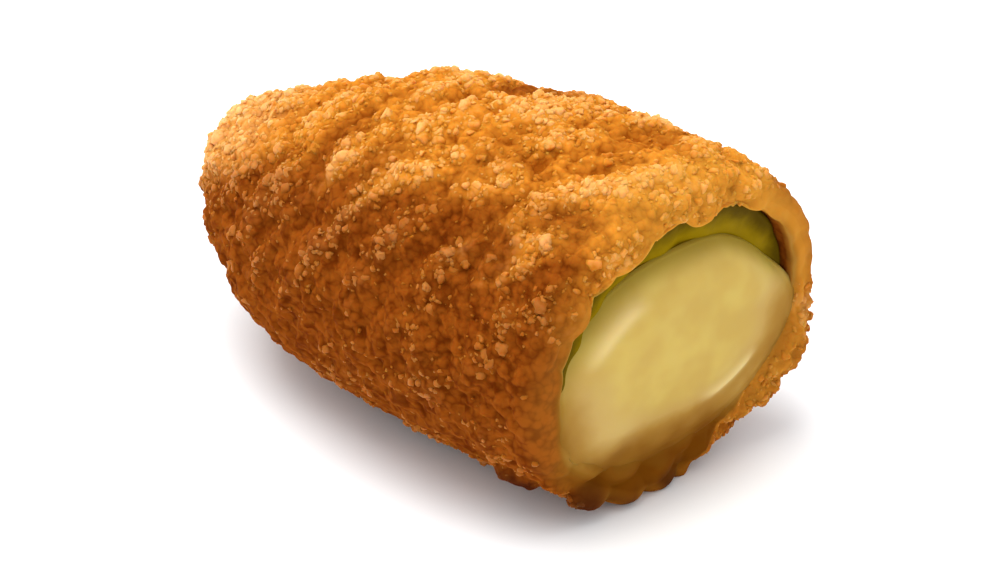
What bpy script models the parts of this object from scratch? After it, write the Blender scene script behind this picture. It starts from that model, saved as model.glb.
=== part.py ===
"""The cut half of a fried cheddar jalapeno popper, at its real size, as it lies on a table.

A thick breaded coating holds half a jalapeno, which is laid like an arch over melted cheddar.
The axis runs along X, with the closed tip at -X and the cut at +X. It rests on z = 0.
"""

import bisect
import itertools
import math
import random

import bmesh
import bpy
from mathutils import Euler, Vector, noise

MM = 0.001

# The body under its crumbs, and how it lies
LENGTH = 47.0 * MM
HALF_HEIGHT = 14.3 * MM
HALF_WIDTH = 15.0 * MM
SHOULDER = 0.69
TIP_POWER = 1.87
TIP_RISE = 0.99
TIP_BEND = 1.4 * MM
MIDDLE = (-1.04 * MM, -0.1 * MM)
SINK = 0.35 * MM
CUT_TURN = math.radians(9.3)
CUT_LEAN = math.radians(3.7)
CUT_EDGE = 1.5 * MM

# The walls of the coating, measured from the body to the filling
COATING_SIDE = 3.1 * MM
COATING_TOP = 3.9 * MM
COATING_BOTTOM = 4.9 * MM
COATING_TIP = 5.2 * MM

# The filling: an arch of pepper over the cheese
FILLING_SQUARENESS = 2.2
FILLING_ROLL = math.radians(6)
FILLING_EDGE = 0.5 * MM
PEPPER_TOP = 3.2 * MM
PEPPER_FOOT = 2.3 * MM
PEPPER_RECESS = 1.0 * MM
FOOT_ANGLE = math.radians(-17)
FOOT_TAPER = math.radians(6)
CHEESE_RECESS = 0.4 * MM
CHEESE_BULGE = 2.3 * MM
CHEESE_EDGE = 1.4 * MM
GAP = 0.3 * MM
PAST_THE_CUT = 5 * MM

# The crust: dents of the whole body, clumps of crumbs, and single crumbs that stand proud
DENT_SIZE = 13 * MM
DENT_DEPTH = 0.5 * MM
CLUMP_SIZE = 2.9 * MM
CLUMP_HEIGHT = 1.7 * MM
CLUMP_REACH = 0.75
BARE_BELOW = 4.0 * MM
CRUSTED_ABOVE = 12.0 * MM
BARE_SHARE = 0.3
PROUD_CRUMBS = 80
PROUD_RADIUS = (0.8 * MM, 1.25 * MM)
CRUMB_DEPTH = 0.3
CRUMB_UNEVENNESS = 0.22
SEED = 12

# Faces along and around each piece, and the steps of the sums behind them
CREASE_ANGLE = math.radians(50)
COATING_RINGS, COATING_SEGMENTS = 50, 76
FILLING_RINGS, FILLING_SEGMENTS = 20, 36
OUTLINE_STEPS = 120
PLACING_RINGS = 200
SMALL_TURN = math.radians(2)
GOLDEN_ANGLE = math.pi * (3 - math.sqrt(5))


def growth(share):
    """The section's size at a share of the length from the tip: 0 at the tip, 1 from the shoulder on."""
    left = 1 - min(max(share / SHOULDER, 0.0), 1.0)
    return (1 - left**TIP_POWER) ** (1 / TIP_POWER)


def smooth_step(low, high, value):
    """0 below low, 1 above high, and a smooth rise between."""
    share = min(max((value - low) / (high - low), 0.0), 1.0)
    return share * share * (3 - 2 * share)


def in_place(along, side, up):
    """The point at a distance from the tip, to one side of the body's axis and above it."""
    share = max(along / LENGTH, 0.0)
    size = growth(share)
    near_tip = max(1 - share, 0.0) ** 2
    skew = share**3 * (math.tan(CUT_TURN) * side + math.tan(CUT_LEAN) * up)
    axis_height = HALF_HEIGHT * (size + TIP_RISE * near_tip * (1 - size)) - SINK
    bend = TIP_BEND * near_tip
    return Vector((MIDDLE[0] + along - LENGTH / 2 + skew, MIDDLE[1] + side + bend, axis_height + up))


def body_section(angle):
    """The side and height of the body's outline at an angle, from +Y upwards."""
    return HALF_WIDTH * math.cos(angle), HALF_HEIGHT * math.sin(angle)


def filling_section(angle, grow=0.0):
    """The outline inside the coating: a squarish oval, a little rolled."""
    bend = 2 / FILLING_SQUARENESS
    across = math.copysign(abs(math.cos(angle)) ** bend, math.cos(angle))
    upward = math.copysign(abs(math.sin(angle)) ** bend, math.sin(angle))
    side = across * (HALF_WIDTH - COATING_SIDE + grow)
    up = upward * (HALF_HEIGHT - (COATING_TOP + COATING_BOTTOM) / 2 + grow)
    turned = complex(side, up) * complex(math.cos(FILLING_ROLL), math.sin(FILLING_ROLL))
    return turned.real, turned.imag + (COATING_BOTTOM - COATING_TOP) / 2


def cheese_section(angle, grow=0.0):
    """The outline of the cheese: the filling's, drawn in above the pepper's feet by the pepper's thickness."""
    side, up = filling_section(angle)
    rise = math.asin(math.sin(angle))
    arch = smooth_step(FOOT_ANGLE - FOOT_TAPER / 2, FOOT_ANGLE + FOOT_TAPER / 2, rise)
    pepper = PEPPER_FOOT + (PEPPER_TOP - PEPPER_FOOT) * max(math.sin(angle), 0.0) + GAP
    kept = 1 - (arch * pepper - grow) / math.hypot(side, up)
    return side * kept, up * kept


class Loft:
    """A long solid along the body's axis, with a blunt tip, a rounded edge and a bulging end."""

    def __init__(self, section, tip, end, edge, bulge=0.0, grow=0.0):
        self.section = section
        self.tip = tip - grow
        self.end = end
        self.edge = edge
        self.bulge = bulge
        self.grow = {"grow": grow} if grow else {}

    def outline(self):
        """Points (along, share of the full section) down the side, round the edge and over the end."""
        side = self.end - self.edge - self.tip
        rim = 1 - self.edge / HALF_HEIGHT
        points = []
        for i in range(OUTLINE_STEPS):
            along = self.tip + side * (i / OUTLINE_STEPS) ** 2
            points.append((along, growth((along - self.tip) / (LENGTH - self.tip))))
        for i in range(OUTLINE_STEPS):
            turn = math.pi / 2 * i / OUTLINE_STEPS
            points.append((self.end - self.edge * (1 - math.sin(turn)), rim + (1 - rim) * math.cos(turn)))
        for i in range(OUTLINE_STEPS + 1):
            share = 1 - i / OUTLINE_STEPS
            points.append((self.end + self.bulge * (1 - share**2), rim * share))
        return points

    def even_outline(self, count):
        """The outline at count + 1 even steps of its length."""
        points = self.outline()
        lengths = [0.0]
        for (x0, k0), (x1, k1) in zip(points, points[1:]):
            lengths.append(lengths[-1] + math.hypot(x1 - x0, (k1 - k0) * HALF_HEIGHT))
        even = []
        at = 0
        for i in range(count + 1):
            wanted = lengths[-1] * i / count
            while at < len(points) - 2 and lengths[at + 1] < wanted:
                at += 1
            part = (wanted - lengths[at]) / (lengths[at + 1] - lengths[at])
            (x0, k0), (x1, k1) = points[at], points[at + 1]
            even.append((x0 + (x1 - x0) * part, max(k0 + (k1 - k0) * part, 0.0)))
        return even

    def point(self, along, share, angle):
        """The point at a share of the full section and an angle round it."""
        side, up = self.section(angle, **self.grow)
        return in_place(along, side * share, up * share)

    def mesh(self, rings, segments):
        """A closed bmesh: a sphere, with its rings laid along the outline from the tip, its lower pole."""
        shape = bmesh.new()
        bmesh.ops.create_uvsphere(shape, u_segments=segments, v_segments=rings, radius=1.0)
        outline = self.even_outline(rings)
        for vert in shape.verts:
            from_below = math.acos(max(-1.0, min(1.0, -vert.co.z))) / math.pi
            along, share = outline[round(from_below * rings)]
            vert.co = self.point(along, share, math.atan2(vert.co.y, vert.co.x))
        shape.normal_update()
        return shape


BODY = Loft(body_section, 0.0, LENGTH, CUT_EDGE)
CAVITY = Loft(filling_section, COATING_TIP, LENGTH + PAST_THE_CUT, FILLING_EDGE, grow=GAP)
PEPPER_BLANK = Loft(filling_section, COATING_TIP, LENGTH - PEPPER_RECESS, FILLING_EDGE)
CHEESE_SPACE = Loft(cheese_section, COATING_TIP + PEPPER_TOP, LENGTH + PAST_THE_CUT, FILLING_EDGE, grow=GAP)
CHEESE = Loft(cheese_section, COATING_TIP + PEPPER_TOP + GAP, LENGTH - CHEESE_RECESS, CHEESE_EDGE, CHEESE_BULGE)


def crust_height(place):
    """How far the crust stands off the body: wide dents, and round-topped clumps that thin out below."""
    cover = BARE_SHARE + (1 - BARE_SHARE) * smooth_step(BARE_BELOW, CRUSTED_ABOVE, place.z)
    near, _ = noise.voronoi(place / CLUMP_SIZE)
    clump = 1 - min(near[0] / CLUMP_REACH, 1.0) ** 2
    return cover * (DENT_DEPTH * noise.noise(place / DENT_SIZE) + CLUMP_HEIGHT * (clump - 0.5))


def cut_depth(place):
    """How far a point lies behind the plane of the cut, along X."""
    centre = in_place(LENGTH, 0.0, 0.0)
    side, up = place.y - centre.y, place.z - centre.z
    return centre.x + math.tan(CUT_TURN) * side + math.tan(CUT_LEAN) * up - place.x


def coating_shape():
    """The outside of the coating, closed over the cut, with its clumps of crumbs."""
    shape = BODY.mesh(COATING_RINGS, COATING_SEGMENTS)
    for vert in shape.verts:
        behind_cut = smooth_step(0.0, 2 * CUT_EDGE, cut_depth(vert.co))
        vert.co += vert.normal * crust_height(vert.co) * behind_cut
    return shape


def facing(rings, at, angle):
    """The outward direction of the body at one of its rings and an angle round it."""
    before, after = rings[max(at - 1, 0)], rings[min(at + 1, len(rings) - 1)]
    lengthwise = BODY.point(*after, angle) - BODY.point(*before, angle)
    roundwise = BODY.point(*rings[at], angle + SMALL_TURN) - BODY.point(*rings[at], angle - SMALL_TURN)
    return roundwise.cross(lengthwise).normalized()


def proud_places():
    """(point, outward direction) of each proud crumb, spread evenly over the body by the golden angle."""
    rings = [ring for ring in BODY.even_outline(PLACING_RINGS) if ring[0] < LENGTH - CUT_EDGE]
    area = list(itertools.accumulate(share for _, share in rings))
    places = []
    for i in range(PROUD_CRUMBS):
        at = bisect.bisect_left(area, area[-1] * (i + 0.5) / PROUD_CRUMBS)
        angle = i * GOLDEN_ANGLE
        places.append((BODY.point(*rings[at], angle), facing(rings, at, angle)))
    return places


def crumb_shape(rng, radius):
    """A small uneven lump of 20 faces."""
    shape = bmesh.new()
    bmesh.ops.create_icosphere(shape, subdivisions=1, radius=radius)
    turn = Euler([rng.uniform(0, math.tau) for _ in range(3)]).to_matrix()
    for vert in shape.verts:
        vert.co = turn @ vert.co * (1 + CRUMB_UNEVENNESS * rng.uniform(-1, 1))
    return shape


def piece(shape, name, collection, material=None):
    """An object of a bmesh, which is freed."""
    mesh = bpy.data.meshes.new(name)
    shape.to_mesh(mesh)
    shape.free()
    made = bpy.data.objects.new(name, mesh)
    collection.objects.link(made)
    if material:
        mesh.materials.append(material)
    else:
        made.hide_render = True
        made.display_type = "WIRE"
    return made


def boolean(target, operation, other=None, group=None):
    """Adds a Boolean with one object or with a collection of them."""
    change = target.modifiers.new(operation.title(), "BOOLEAN")
    change.operation = operation
    change.solver = "EXACT"
    change.operand_type = "COLLECTION" if group else "OBJECT"
    if group:
        change.collection = group
    else:
        change.object = other


def apply_modifiers(target):
    """Puts the evaluated mesh in place of the object's own and clears its modifiers."""
    bpy.context.view_layer.update()
    graph = bpy.context.evaluated_depsgraph_get()
    mesh = bpy.data.meshes.new_from_object(target.evaluated_get(graph))
    target.modifiers.clear()
    target.data = mesh


def finish(name, colour, roughness, subsurface):
    """A plain material with the food's colour."""
    material = bpy.data.materials.new(name)
    material.use_nodes = True
    shader = material.node_tree.nodes["Principled BSDF"]
    shader.inputs["Base Color"].default_value = (*colour, 1.0)
    shader.inputs["Roughness"].default_value = roughness
    shader.inputs["Metallic"].default_value = 0.0
    shader.inputs["Subsurface Weight"].default_value = subsurface
    material.diffuse_color = (*colour, 1.0)
    return material


def add_crumbs(coating, crumbs):
    """Fuses the proud crumbs to the coating in one union, and removes their objects."""
    rng = random.Random(SEED)
    for place, outward in proud_places():
        radius = rng.uniform(*PROUD_RADIUS)
        if place.z < BARE_BELOW or cut_depth(place) < radius:
            continue
        shape = crumb_shape(rng, radius)
        centre = place + outward * (crust_height(place) - CRUMB_DEPTH * radius)
        bmesh.ops.translate(shape, verts=shape.verts, vec=centre)
        piece(shape, "crumb", crumbs)
    boolean(coating, "UNION", group=crumbs)
    apply_modifiers(coating)
    for crumb in list(crumbs.objects):
        bpy.data.objects.remove(crumb, do_unlink=True)


def floor_block(cutters):
    """Everything below the surface that the popper lies on."""
    shape = bmesh.new()
    bmesh.ops.create_cube(shape, size=2 * LENGTH)
    bmesh.ops.translate(shape, verts=shape.verts, vec=(0, 0, -LENGTH))
    return piece(shape, "floor_block", cutters)


def shade(target):
    """Smooth, but for the creases between crumbs and round the cuts."""
    target.data.shade_smooth()
    target.data.set_sharp_from_angle(angle=CREASE_ANGLE)


def main():
    for old in list(bpy.data.objects):
        bpy.data.objects.remove(old, do_unlink=True)
    groups = {}
    for name in ("halved_jalapeno_popper", "cutters", "crumbs"):
        groups[name] = bpy.data.collections.new(name)
        bpy.context.scene.collection.children.link(groups[name])
    popper, cutters, crumbs = groups.values()

    crust = finish("golden_crust", (0.56, 0.21, 0.035), 0.7, 0.1)
    skin = finish("jalapeno_flesh", (0.22, 0.12, 0.008), 0.3, 0.1)
    melted = finish("melted_cheddar", (0.70, 0.47, 0.12), 0.35, 0.2)

    coating = piece(coating_shape(), "coating", popper, crust)
    add_crumbs(coating, crumbs)
    cavity = piece(CAVITY.mesh(FILLING_RINGS, FILLING_SEGMENTS), "cavity", cutters)
    boolean(coating, "DIFFERENCE", cavity)
    boolean(coating, "DIFFERENCE", floor_block(cutters))

    jalapeno = piece(PEPPER_BLANK.mesh(FILLING_RINGS, FILLING_SEGMENTS), "jalapeno", popper, skin)
    cheese_space = piece(CHEESE_SPACE.mesh(FILLING_RINGS, FILLING_SEGMENTS), "cheese_space", cutters)
    boolean(jalapeno, "DIFFERENCE", cheese_space)

    cheddar = piece(CHEESE.mesh(FILLING_RINGS, FILLING_SEGMENTS), "cheddar", popper, melted)

    for node in (coating, jalapeno, cheddar):
        shade(node)


main()
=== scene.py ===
"""The looks of the halved cheddar jalapeno popper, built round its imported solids, in metres."""

import math

import bpy
import numpy as np
from bpy.props import FloatProperty, FloatVectorProperty, IntProperty, PointerProperty
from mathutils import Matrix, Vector, noise


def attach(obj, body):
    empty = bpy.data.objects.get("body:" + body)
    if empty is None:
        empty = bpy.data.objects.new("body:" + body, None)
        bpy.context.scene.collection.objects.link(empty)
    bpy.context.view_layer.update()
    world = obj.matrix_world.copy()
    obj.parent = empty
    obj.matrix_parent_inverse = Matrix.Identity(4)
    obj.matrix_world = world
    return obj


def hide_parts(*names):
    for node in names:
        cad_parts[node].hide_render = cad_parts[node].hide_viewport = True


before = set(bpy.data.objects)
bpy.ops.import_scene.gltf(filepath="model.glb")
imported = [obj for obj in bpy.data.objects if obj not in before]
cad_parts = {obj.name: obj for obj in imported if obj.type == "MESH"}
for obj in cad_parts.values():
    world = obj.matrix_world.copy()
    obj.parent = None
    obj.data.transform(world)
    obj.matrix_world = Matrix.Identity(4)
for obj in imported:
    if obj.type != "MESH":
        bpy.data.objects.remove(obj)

bl_info = {
    "name": "Halved Jalapeno Popper",
    "version": (1, 0, 0),
    "blender": (4, 5, 0),
    "location": "3D View > Sidebar > Popper",
    "description": "Builds the crumb coating, the pepper and the melted cheese of a cut popper",
    "category": "Object",
}

MM = 0.001

# The body under its crumbs, as the solids have it
LENGTH = 47.0 * MM
HALF_HEIGHT = 14.3 * MM
HALF_WIDTH = 15.0 * MM
SHOULDER = 0.69
TIP_POWER = 1.87
TIP_RISE = 0.99
TIP_BEND = 1.4 * MM
MIDDLE = (-1.04 * MM, -0.1 * MM)
SINK = 0.35 * MM
CUT_TURN = math.radians(9.3)
CUT_LEAN = math.radians(3.7)
COATING_SIDE = 3.1 * MM
COATING_TOP = 3.9 * MM
COATING_BOTTOM = 4.9 * MM
COATING_TIP = 5.2 * MM
FILLING_SQUARENESS = 2.2
FILLING_ROLL = math.radians(6)
PEPPER_TOP = 3.2 * MM
PEPPER_FOOT = 2.3 * MM
FOOT_ANGLE = math.radians(-17)
FOOT_TAPER = math.radians(6)
DENT_SIZE = 13 * MM
DENT_DEPTH = 0.5 * MM
CLUMP_SIZE = 2.9 * MM
CLUMP_HEIGHT = 1.7 * MM
CLUMP_REACH = 0.75
BARE_BELOW = 4.0 * MM
CRUSTED_ABOVE = 12.0 * MM
BARE_SHARE = 0.3

# Rings of faces round the edge of the cut, across its face and inside the hollow
EDGE_RINGS = 10
FACE_RINGS = 14
HOLLOW_RINGS = 9
HOLLOW_LENGTH = 7 * MM
EDGE_SHARE = 0.2

# Relief that only the finished crust has
FINE_CREASES = 0.35 * MM
RIDGE_SLANT = math.radians(48)
RIDGE_LENGTH = 7 * MM
RIDGE_WIDTH = 2.8 * MM
LUMP_HEIGHT = 0.7 * MM
HOLLOW_DEPTH = 0.5 * MM
TOOTH_SIZE = 2.6 * MM
TOOTH_DEPTH = 1.3 * MM
LOBE_SIZE = 3.2 * MM
LOBE_HEIGHT = 1.4 * MM
CRAG_SIZE = 1.0 * MM
CRAG_HEIGHT = 0.5 * MM
SWELL_HEIGHT = 0.95 * MM

# Smooth hollows without crumbs: place and width in millimetres
BARE_PATCHES = (((-6.5, -10.2, 21.9), 3.8), ((12.6, -11.2, 23.2), 3.8))

# Burnt lumps near the floor: place and width in millimetres
BURNT_LUMPS = (
    ((15.2, -10.4, 3.2), 2.0),
    ((20.4, -8.3, 1.6), 2.4),
    ((-9.0, 9.0, 3.0), 2.2),
    ((8.0, 11.0, 3.4), 1.8),
)

# Each kind of loose crumb: name, surface attribute, spacing, radii, share sunk, subdivisions and seed
CRUMB_KINDS = (
    ("crumbs_coarse", "clusters", 0.80 * MM, 0.30 * MM, 0.62 * MM, 0.60, 2, 3),
    ("crumbs_medium", "clusters", 0.58 * MM, 0.22 * MM, 0.40 * MM, 0.45, 2, 5),
    ("crumbs_fine", "cover", 0.42 * MM, 0.14 * MM, 0.27 * MM, 0.35, 1, 8),
)

# How densely the crumbs may lie, and the limits within which each is stretched and turned
MOST_CRUMBS = 4.0 / (MM * MM)
LEAST_STRETCH = (0.8, 0.8, 0.7)
MOST_STRETCH = (1.25, 1.1, 1.0)
LEAST_TURN = (-0.5, -0.5, 0.0)
MOST_TURN = (0.5, 0.5, 2 * math.pi)

# The filling at the cut: the pepper's bevel, and how far in from its edge the cheese changes colour
PEPPER_BEVEL = 0.35 * MM
BEVEL_STEPS = 4
MELT_REACH = 5.5 * MM

# Soft folds in the cheese: angle and half width in degrees, and how far in from its edge
CHEESE_FOLDS = ((299, 27, 0.68), (142, 32, 0.3))
FOLD_HEIGHT = 0.3 * MM

# Colours that the finishes mix in
GOLDEN_CRUST = (0.60, 0.26, 0.028)
PALE_CRUST = (0.82, 0.45, 0.18)
# Browner crust down the sides, partly toasting and partly painted shade; the crease colour is darker for
# painted shade in the creases
CREASE_SHADE_TOAST = (0.108, 0.017, 0.001)
SIDE_SHADE_TOAST = (0.235, 0.053, 0.004)
GOLDEN_CRUMB = (0.62, 0.26, 0.028)
# Pale tip crumbs, and painted glints on the crumbs' tops
PALE_CRUMB_AND_GLINT = (0.92, 0.54, 0.25)
# Crumbs on the toasted sides: painted shade on their undersides, toasted colour with painted side shade on
# their tops
CRUMB_UNDERSIDE_SHADE = (0.19, 0.038, 0.002)
SIDE_SHADE_TOAST_CRUMB = (0.47, 0.155, 0.019)
MELT_STOPS = (
    (0.34, (0.45, 0.285, 0.078)),
    (0.5, (0.33, 0.172, 0.030)),
    (0.68, (0.22, 0.092, 0.009)),
    (0.95, (0.145, 0.044, 0.002)),
)
# Painted highlight: the pale colour laid along the cheese's folds and as a sheen low on its left
CHEESE_PAINTED_GLEAM = (0.66, 0.51, 0.22)
CHEESE_BY_PEPPER = (0.28, 0.20, 0.010)

# The stage: the camera stands off from the middle of the cut and looks at the middle of the body
CUT_MIDDLE = Vector((22.5 * MM, -0.1 * MM, 14.2 * MM))
LOOKED_AT = Vector((4.0 * MM, 1.2 * MM, 11.4 * MM))
LIGHT_PLACE = (-0.13, -0.11, 0.84)
LIGHT_SIZE = 0.65
LIGHT_POWER = 7.2
ROOM_COLOUR = (0.97, 0.985, 1.0)
ROOM_LIGHT = 1.02
FLOOR_REACH = 2.0

# A Mix node's sockets for colours, which share their names with others
MIX_SHARE = 0
MIX_FIRST = 6
MIX_SECOND = 7
MIX_COLOUR = 2


class CrustSizes(bpy.types.PropertyGroup):
    rings: IntProperty(name="Rings", description="Faces from the tip to the cut", default=216, min=20)
    segments: IntProperty(name="Segments", description="Faces round the body", default=384, min=20)
    crumb_size: FloatProperty(
        name="Crumb size", description="Width of the crumbs in the crust", default=1.2 * MM, unit="LENGTH"
    )
    crumb_relief: FloatProperty(
        name="Crumb relief", description="Height of those crumbs", default=0.42 * MM, unit="LENGTH"
    )
    ridge_relief: FloatProperty(
        name="Ridge relief", description="Height of the slanting ridges", default=0.6 * MM, unit="LENGTH"
    )
    cut_edge: FloatProperty(
        name="Cut edge", description="Rounding of the coating at the cut", default=1.5 * MM, unit="LENGTH"
    )
    lip_relief: FloatProperty(
        name="Lip relief", description="Depth of its ragged edge", default=1.0 * MM, unit="LENGTH"
    )
    # Painted highlight: the palest colour, laid on the tops of the crumbs where light falls
    crumb_top_highlight: FloatVectorProperty(
        name="Crumb tops", description="The palest crumbs", subtype="COLOR", default=(0.79, 0.365, 0.112)
    )
    crumb_side: FloatVectorProperty(
        name="Crumb sides", description="Most of the crust", subtype="COLOR", default=(0.56, 0.190, 0.016)
    )
    # Painted shade: the dark colour laid between the crumbs, where shade falls
    recess: FloatVectorProperty(
        name="Recesses", description="Between the crumbs", subtype="COLOR", default=(0.26, 0.060, 0.003)
    )
    batter: FloatVectorProperty(
        name="Batter", description="Smooth batter at the cut", subtype="COLOR", default=(0.52, 0.21, 0.022)
    )
    burnt: FloatVectorProperty(
        name="Burnt", description="The darkest spots", subtype="COLOR", default=(0.05, 0.010, 0.003)
    )


class FillingSizes(bpy.types.PropertyGroup):
    pepper_recess: FloatProperty(
        name="Pepper recess", description="Its depth behind the cut", default=0.9 * MM, unit="LENGTH"
    )
    cheese_recess: FloatProperty(
        name="Cheese recess", description="Depth of its edge at the cut", default=0.6 * MM, unit="LENGTH"
    )
    cheese_bulge: FloatProperty(
        name="Cheese bulge", description="How far the cheese swells out", default=1.5 * MM, unit="LENGTH"
    )
    pepper_showing: FloatProperty(
        name="Pepper showing", description="Its width above the cheese", default=3.1 * MM, unit="LENGTH"
    )
    skin: FloatVectorProperty(
        name="Pepper skin", description="Skin on the outside", subtype="COLOR", default=(0.08, 0.048, 0.001)
    )
    flesh: FloatVectorProperty(
        name="Pepper flesh", description="Flesh on the inside", subtype="COLOR", default=(0.25, 0.160, 0.002)
    )
    cheese: FloatVectorProperty(
        name="Cheese", description="The melted cheese", subtype="COLOR", default=(0.495, 0.333, 0.081)
    )
    mottling: FloatVectorProperty(
        name="Mottling", description="Paler clouds in it", subtype="COLOR", default=(0.55, 0.395, 0.100)
    )


class StageSettings(bpy.types.PropertyGroup):
    azimuth: FloatProperty(
        name="Azimuth", description="Camera's turn round it", subtype="ANGLE", default=math.radians(37.26)
    )
    elevation: FloatProperty(
        name="Elevation", description="Camera's angle above it", subtype="ANGLE", default=math.radians(32)
    )
    distance: FloatProperty(name="Distance", description="Camera to the cut", default=0.522, unit="LENGTH")
    lens: FloatProperty(name="Lens", description="Focal length in millimetres", default=246)
    floor: FloatVectorProperty(
        name="Floor", description="Colour of the floor", subtype="COLOR", default=(0.92, 0.92, 0.92)
    )


class Value:
    """A node's output. Arithmetic on it adds Math nodes to its tree."""

    def __init__(self, graph, socket):
        self.graph = graph
        self.socket = socket

    def maths(self, operation, *values):
        return self.graph.node("ShaderNodeMath", {"operation": operation}, dict(enumerate(values)))[0]

    def __add__(self, other):
        return self.maths("ADD", self, other)

    def __radd__(self, other):
        return self.maths("ADD", other, self)

    def __sub__(self, other):
        return self.maths("SUBTRACT", self, other)

    def __rsub__(self, other):
        return self.maths("SUBTRACT", other, self)

    def __mul__(self, other):
        return self.maths("MULTIPLY", self, other)

    def __rmul__(self, other):
        return self.maths("MULTIPLY", other, self)

    def __rtruediv__(self, other):
        return self.maths("DIVIDE", other, self)

    def __pow__(self, other):
        return self.maths("POWER", self, other)


class Outputs:
    """The outputs of one node, by name or number."""

    def __init__(self, graph, made):
        self.graph = graph
        self.made = made

    def __getitem__(self, key):
        return Value(self.graph, self.made.outputs[key])


class Graph:
    """A node tree under construction."""

    def __init__(self, tree):
        self.tree = tree
        self.tree.nodes.clear()

    def node(self, kind, settings=None, inputs=None):
        """Adds a node: its settings first, then the values or links of its sockets."""
        made = self.tree.nodes.new(kind)
        for name, value in (settings or {}).items():
            if name == "stops":
                self.set_stops(made.color_ramp, value)
            else:
                setattr(made, name, value)
        for key, value in (inputs or {}).items():
            self.feed(made.inputs[key], value)
        return Outputs(self, made)

    def feed(self, socket, value):
        """Links a socket to a node's output, or sets its value."""
        if isinstance(value, Value):
            self.tree.links.new(value.socket, socket)
        elif socket.type == "RGBA":
            socket.default_value = (*value[:3], 1.0)
        else:
            socket.default_value = value

    @staticmethod
    def set_stops(ramp, stops):
        """Gives a ramp its stops: a place and a colour each."""
        while len(ramp.elements) < len(stops):
            ramp.elements.new(0.5)
        for element, (place, colour) in zip(ramp.elements, stops):
            element.position = place
            element.color = (*colour, 1.0)

    def mix(self, share, first, second):
        """One colour mixed into another."""
        settings = {"data_type": "RGBA", "clamp_factor": True}
        inputs = {MIX_SHARE: share, MIX_FIRST: first, MIX_SECOND: second}
        return self.node("ShaderNodeMix", settings, inputs)[MIX_COLOUR]

    def ramp(self, value, *stops):
        """A colour between stops, by a value."""
        return self.node("ShaderNodeValToRGB", {"stops": stops}, {0: value})[0]

    def between(self, value, low, high, start=0.0, end=1.0):
        """A value mapped smoothly from one range to another."""
        ends = {"Value": value, "From Min": low, "From Max": high, "To Min": start, "To Max": end}
        return self.node("ShaderNodeMapRange", {"interpolation_type": "SMOOTHSTEP"}, ends)["Result"]

    def attribute(self, name):
        """A number that the mesh holds at each point."""
        return self.node("ShaderNodeAttribute", {"attribute_name": name})["Fac"]

    def noise(self, place, size, detail=2.0, output="Fac"):
        """Smooth noise whose grains are about this wide."""
        ends = {"Vector": place, "Scale": 1 / size, "Detail": detail}
        return self.node("ShaderNodeTexNoise", None, ends)[output]

    def bump(self, height, distance, strength):
        """Normals tilted by a height."""
        ends = {"Strength": strength, "Distance": distance, "Height": height}
        return self.node("ShaderNodeBump", None, ends)["Normal"]

    def vector(self, operation, *values):
        """Arithmetic on vectors."""
        inputs = dict(enumerate(values))
        return self.node("ShaderNodeVectorMath", {"operation": operation}, inputs)["Vector"]

    def scaled(self, vector, factor):
        """A vector times a number."""
        inputs = {0: vector, "Scale": factor}
        return self.node("ShaderNodeVectorMath", {"operation": "SCALE"}, inputs)["Vector"]


def new_finish(name, build):
    """A material whose nodes a function adds."""
    material = bpy.data.materials.new(name)
    material.use_nodes = True
    graph = Graph(material.node_tree)
    shader = build(graph, graph.node("ShaderNodeTexCoord")["Object"])
    graph.node("ShaderNodeOutputMaterial", None, {"Surface": shader["BSDF"]})
    return material


def growth(share):
    """The section's size at a share of the length from the tip."""
    left = 1 - np.clip(share / SHOULDER, 0.0, 1.0)
    return (1 - left**TIP_POWER) ** (1 / TIP_POWER)


def smooth_step(low, high, value):
    """0 at low, 1 at high, and a smooth change between."""
    share = np.clip((value - low) / (high - low), 0.0, 1.0)
    return share * share * (3 - 2 * share)


def facing(angles, middle, half):
    """1 at an angle in degrees, falling smoothly to 0 at this many degrees from it.

    Seen at the cut, 0 is its right side, 90 its top, 180 its left side and 270 its bottom.
    """
    away = np.abs((np.degrees(angles) - middle + 180) % 360 - 180)
    return smooth_step(half, 0.35 * half, away)


def spots(points, places, uneven, edge, middle):
    """1 in the middle of each place, which is given in millimetres, and 0 past its uneven edge."""
    found = np.zeros(points.shape[:-1])
    for place, size in places:
        away = np.linalg.norm((points - np.array(place) * MM) / (size * MM), axis=-1)
        found = np.maximum(found, smooth_step(edge, middle, away + 0.5 * uneven))
    return found


def in_place(along, side, up):
    """Points at a distance from the tip, to one side of the body's axis and above it."""
    share = np.maximum(along / LENGTH, 0.0)
    size = growth(share)
    near_tip = np.maximum(1 - share, 0.0) ** 2
    skew = share**3 * (math.tan(CUT_TURN) * side + math.tan(CUT_LEAN) * up)
    axis_height = HALF_HEIGHT * (size + TIP_RISE * near_tip * (1 - size)) - SINK
    x = MIDDLE[0] + along - LENGTH / 2 + skew
    return np.stack([x, MIDDLE[1] + side + TIP_BEND * near_tip, axis_height + up], axis=-1)


def cut_depth(points):
    """How far points lie behind the plane of the cut, along X."""
    centre = in_place(LENGTH, np.array(0.0), np.array(0.0))
    side, up = points[..., 1] - centre[1], points[..., 2] - centre[2]
    return centre[0] + math.tan(CUT_TURN) * side + math.tan(CUT_LEAN) * up - points[..., 0]


def body_section(angles):
    """The outline of the coating at its widest."""
    return HALF_WIDTH * np.cos(angles), HALF_HEIGHT * np.sin(angles)


def filling_section(angles, grow=0.0):
    """The outline inside the coating: a squarish oval, a little rolled."""
    bend = 2 / FILLING_SQUARENESS
    across = np.sign(np.cos(angles)) * np.abs(np.cos(angles)) ** bend
    upward = np.sign(np.sin(angles)) * np.abs(np.sin(angles)) ** bend
    side = across * (HALF_WIDTH - COATING_SIDE + grow)
    up = upward * (HALF_HEIGHT - (COATING_TOP + COATING_BOTTOM) / 2 + grow)
    cos, sin = math.cos(FILLING_ROLL), math.sin(FILLING_ROLL)
    return side * cos - up * sin, side * sin + up * cos + (COATING_BOTTOM - COATING_TOP) / 2


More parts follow.
